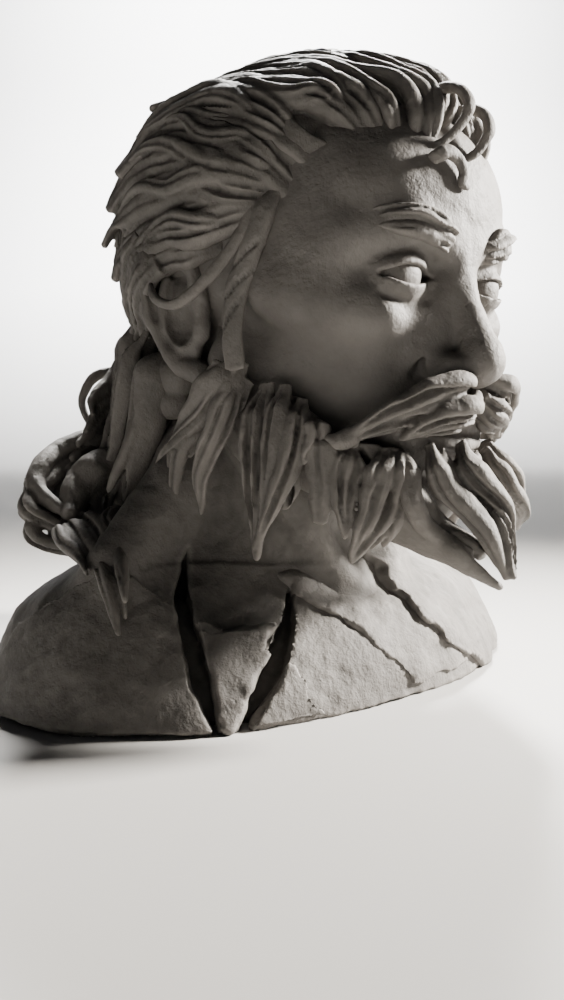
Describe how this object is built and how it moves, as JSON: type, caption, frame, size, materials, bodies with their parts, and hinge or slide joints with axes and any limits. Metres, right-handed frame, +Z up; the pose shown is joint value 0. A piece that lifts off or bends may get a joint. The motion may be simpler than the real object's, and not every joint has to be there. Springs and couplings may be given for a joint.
{
  "type": "clay portrait bust",
  "caption": "Small hand-modelled grey clay bust of a bearded man with swept-back long hair, pressed up from separate pieces over a wire and foil armature.",
  "frame": {"origin": "the middle of the flat underside, below the neck's foot", "axes": "+Z up, the face looks along -Y, +X is the figure's own left"},
  "size_m": [0.1784, 0.1417, 0.1764],
  "materials": {
    "clay": "matte, unfired, tool-marked",
    "armature_wire": "soft armature wire",
    "foil": "crumpled foil"
  },
  "bodies": {
    "root": {"armature_wire": "armature_wire", "back_loop": "clay", "back_slab": "clay", "behind_ear_curl": "clay", "chest_foil_core": "foil", "chest_mound": "clay", "chin_beard": "clay", "collar_wedge": "clay", "crown_strip": "clay", "face_block": "clay", "forelock_drop": "clay", "forelock_loop_high": "clay", "forelock_loop_low": "clay", "head_foil_core": "foil", "left_beard_point": "clay", "left_brow": "clay", "left_cheek_lock": "clay", "left_chest_slab": "clay", "left_ear": "clay", "left_eyeball": "clay", "left_eyelids": "clay", "left_jaw_panel": "clay", "left_moustache": "clay", "left_nape_curl": "clay", "left_nape_lock": "clay", "left_neck_muscle": "clay", "left_over_ear_strip": "clay", "left_shoulder_slab": "clay", "left_side_strip": "clay", "left_sideburn": "clay", "left_sideburn_tail": "clay", "left_temple_strip": "clay", "left_top_strip": "clay", "lower_lip": "clay", "neck": "clay", "nose": "clay", "right_beard_point": "clay", "right_brow": "clay", "right_cheek_lock": "clay", "right_chest_slab": "clay", "right_ear": "clay", "right_eyeball": "clay", "right_eyelids": "clay", "right_jaw_panel": "clay", "right_moustache": "clay", "right_nape_curl": "clay", "right_nape_lock": "clay", "right_neck_muscle": "clay", "right_over_ear_strip": "clay", "right_shoulder_lock": "clay", "right_shoulder_slab": "clay", "right_side_strip": "clay", "right_sideburn": "clay", "right_sideburn_tail": "clay", "right_temple_strand": "clay", "right_temple_strip": "clay", "right_top_strip": "clay", "skull": "clay", "tie_wire": "armature_wire", "upper_lip": "clay"}
  },
  "joints": []
}
